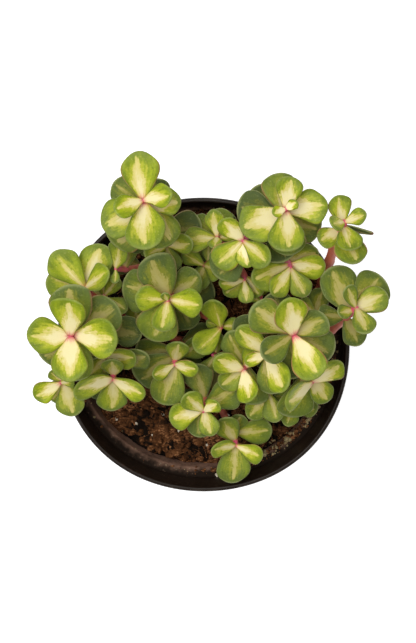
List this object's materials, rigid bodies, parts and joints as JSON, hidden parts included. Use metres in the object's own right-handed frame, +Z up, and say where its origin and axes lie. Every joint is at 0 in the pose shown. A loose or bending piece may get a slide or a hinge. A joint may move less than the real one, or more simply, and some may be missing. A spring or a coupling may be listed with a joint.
{
  "type": "potted rainbow bush",
  "caption": "Bushy variegated dwarf jade with thick rounded cream and green leaves on upright stems, rooted in soil in a round tapered nursery pot.",
  "frame": {"origin": "centre of the pot's flat underside, on the surface that it stands on", "axes": "+Z up along the pot's axis; +Y towards the top of the picture; +X to its right"},
  "size_m": [0.1212, 0.1231, 0.1441],
  "materials": {
    "pot": "thin moulded black-brown plastic, satin, dusty inside",
    "soil": "coarse brown coir and peat potting mix, matt",
    "leafy_stem": "fleshy leaves, green with cream centres, soft sheen, on salmon to dark red stems"
  },
  "bodies": {
    "root": {"pot": "pot", "soil": "soil", "leafy_stem_01": "leafy_stem", "leafy_stem_02": "leafy_stem", "leafy_stem_03": "leafy_stem", "leafy_stem_04": "leafy_stem", "leafy_stem_05": "leafy_stem", "leafy_stem_06": "leafy_stem", "leafy_stem_07": "leafy_stem", "leafy_stem_08": "leafy_stem", "leafy_stem_09": "leafy_stem", "leafy_stem_10": "leafy_stem", "leafy_stem_11": "leafy_stem", "leafy_stem_12": "leafy_stem", "leafy_stem_13": "leafy_stem"}
  },
  "joints": []
}
